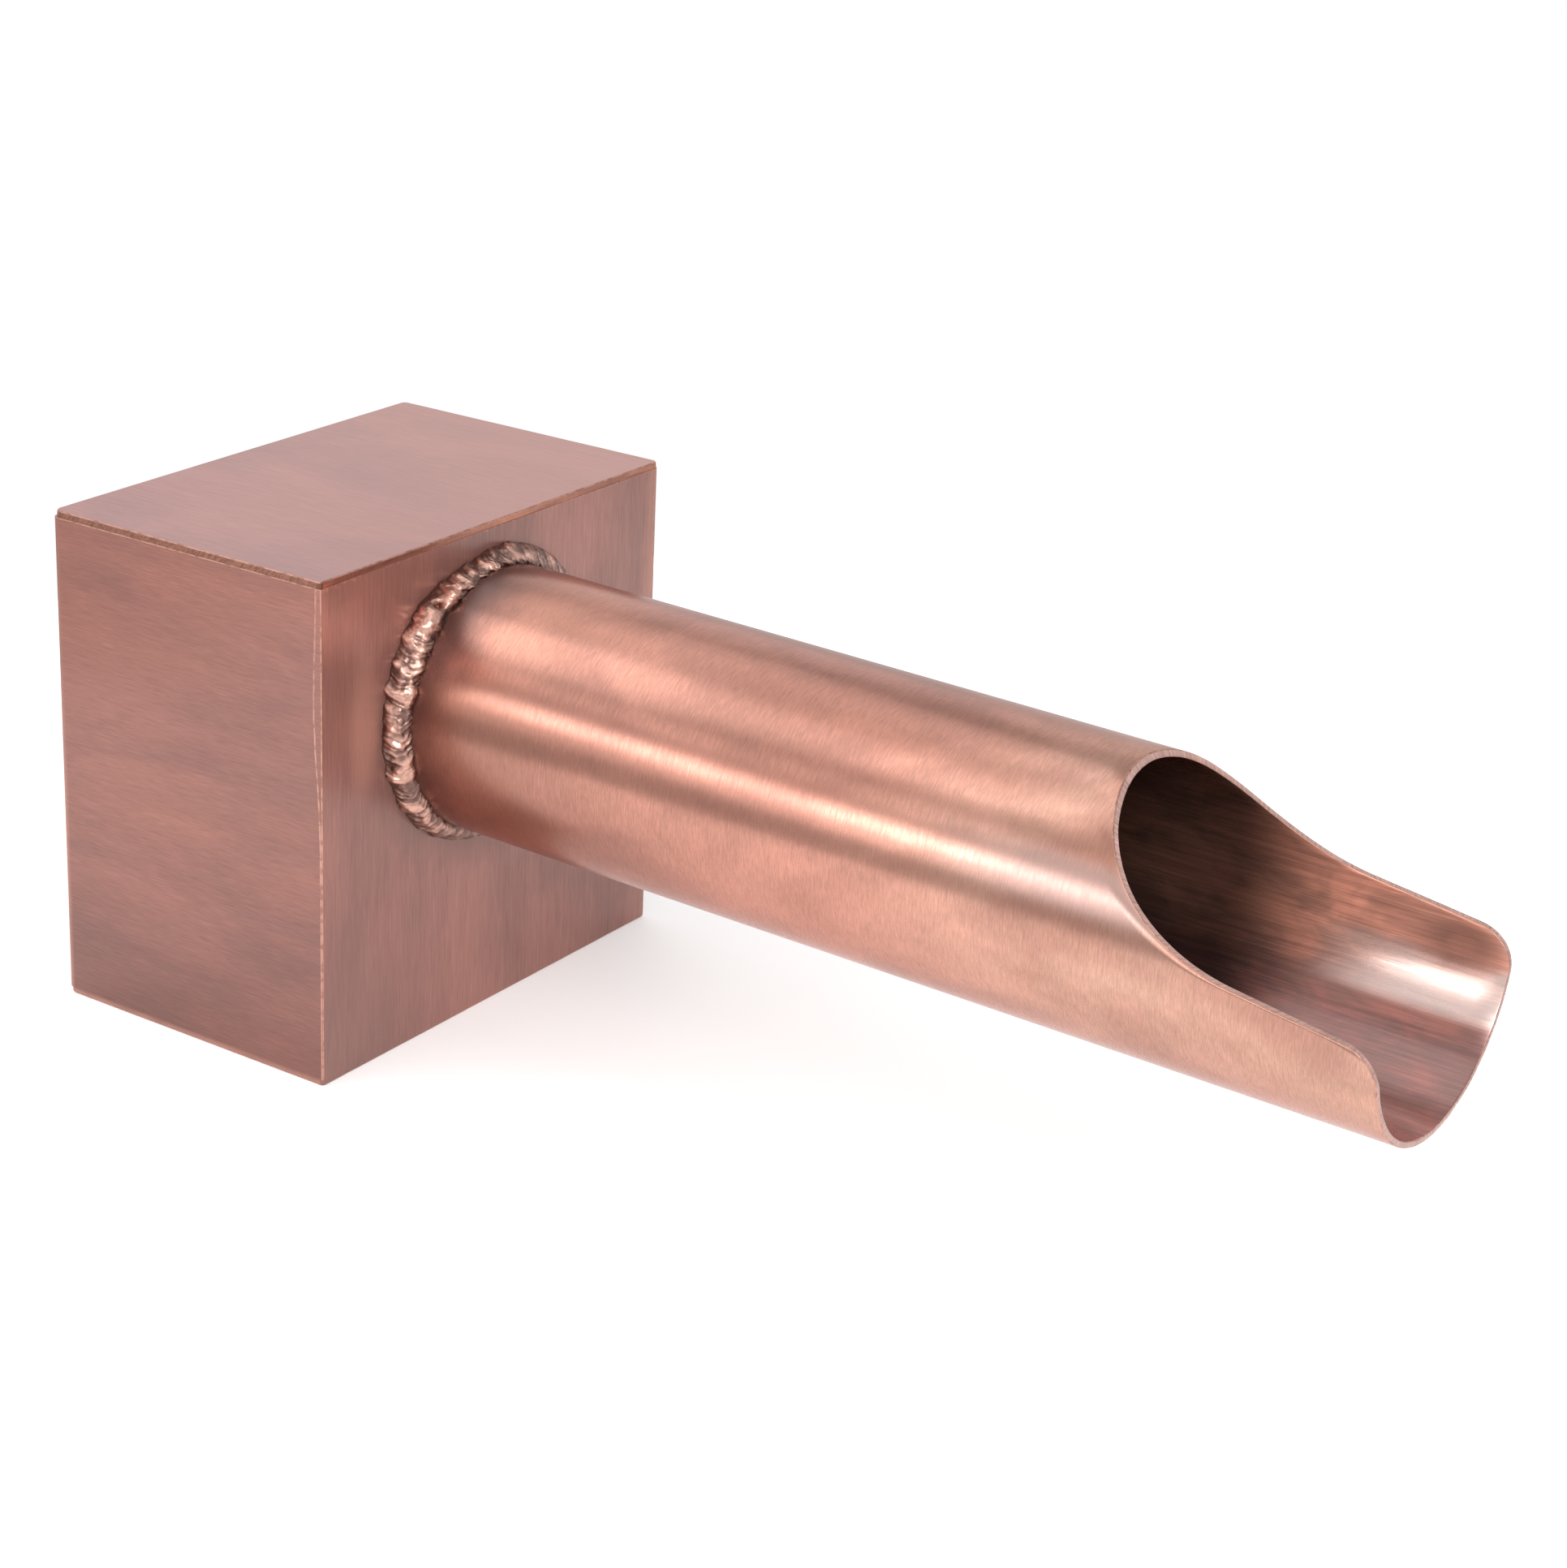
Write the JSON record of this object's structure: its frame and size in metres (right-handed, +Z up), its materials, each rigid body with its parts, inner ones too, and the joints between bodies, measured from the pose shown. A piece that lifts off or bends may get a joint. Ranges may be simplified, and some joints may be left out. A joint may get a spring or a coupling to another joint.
{
  "type": "wall scupper with round spout",
  "caption": "Welded copper plate box with a round spout that ends in an open scoop, to carry roof water through a wall.",
  "frame": {"origin": "middle of the box's underside", "axes": "+X across the box to the right as seen from in front of the spout's tip looking at the wall, +Y into the wall, away from the spout's tip, +Z up"},
  "size_m": [0.1572, 0.407, 0.1524],
  "materials": {
    "box_copper": "flat-brushed copper with a thin rose-brown patina, darker in soft bands, ground bright along its corners",
    "spout_copper": "drawn copper tube, brushed round its girth, warm rose with a light brown patina",
    "weld_copper": "rippled copper weld metal, glossy and dark in its creases"
  },
  "bodies": {
    "root": {"top_plate": "box_copper", "bottom_plate": "box_copper", "left_plate": "box_copper", "right_plate": "box_copper", "front_plate": "box_copper", "back_plate": "box_copper", "spout_tube": "spout_copper", "spout_weld": "weld_copper"}
  },
  "joints": []
}
